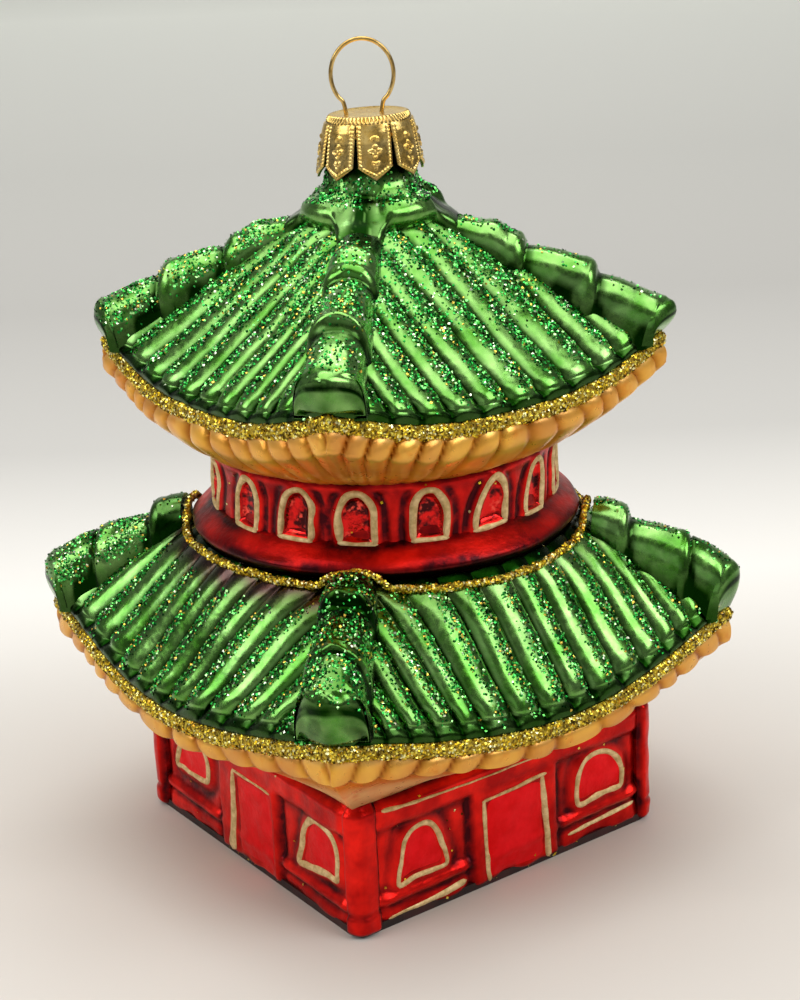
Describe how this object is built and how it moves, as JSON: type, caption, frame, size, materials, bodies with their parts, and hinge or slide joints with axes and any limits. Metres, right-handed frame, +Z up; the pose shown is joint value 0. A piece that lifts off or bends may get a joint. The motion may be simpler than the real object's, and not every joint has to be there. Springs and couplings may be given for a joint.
{
  "type": "pagoda-shaped hanging ornament",
  "caption": "Blown glass hanging ornament shaped as a small pagoda: square red base, flared green roofs, round upper storey, crown cap and wire loop.",
  "frame": {"origin": "middle of the flat underside that it stands on", "axes": "+Z up through the neck and loop; -Y faces the front wall, -X the left wall"},
  "size_m": [0.083, 0.083, 0.1199],
  "materials": {
    "red_glass": "satin red lacquer over silvered glass",
    "bright_red_glass": "matte vermilion lacquer",
    "green_glass": "glossy metallic green lacquer over silvered glass",
    "yellow_glass": "satin amber lacquer",
    "gold_glitter": "glued gold glitter",
    "gold_metal": "embossed gold-coloured sheet",
    "gold_wire": "bright drawn wire"
  },
  "bodies": {
    "root": {"base_floor": "red_glass", "front_wall": "red_glass", "front_door": "bright_red_glass", "front_window_left": "bright_red_glass", "front_window_right": "bright_red_glass", "right_wall": "red_glass", "right_door": "bright_red_glass", "right_window_left": "bright_red_glass", "right_window_right": "bright_red_glass", "back_wall": "red_glass", "back_door": "bright_red_glass", "back_window_left": "bright_red_glass", "back_window_right": "bright_red_glass", "left_wall": "red_glass", "left_door": "bright_red_glass", "left_window_left": "bright_red_glass", "left_window_right": "bright_red_glass", "front_left_post": "red_glass", "lower_ridge_front_left": "green_glass", "upper_ridge_front_left": "green_glass", "front_right_post": "red_glass", "lower_ridge_front_right": "green_glass", "upper_ridge_front_right": "green_glass", "back_right_post": "red_glass", "lower_ridge_back_right": "green_glass", "upper_ridge_back_right": "green_glass", "back_left_post": "red_glass", "lower_ridge_back_left": "green_glass", "upper_ridge_back_left": "green_glass", "lower_soffit": "yellow_glass", "lower_eave_band": "gold_glitter", "lower_roof": "green_glass", "gallery_band": "gold_glitter", "gallery_ledge": "red_glass", "upper_storey": "red_glass", "upper_soffit": "yellow_glass", "upper_eave_band": "gold_glitter", "upper_roof": "green_glass", "neck": "green_glass", "cap": "gold_metal", "hanging_loop": "gold_wire"}
  },
  "joints": []
}
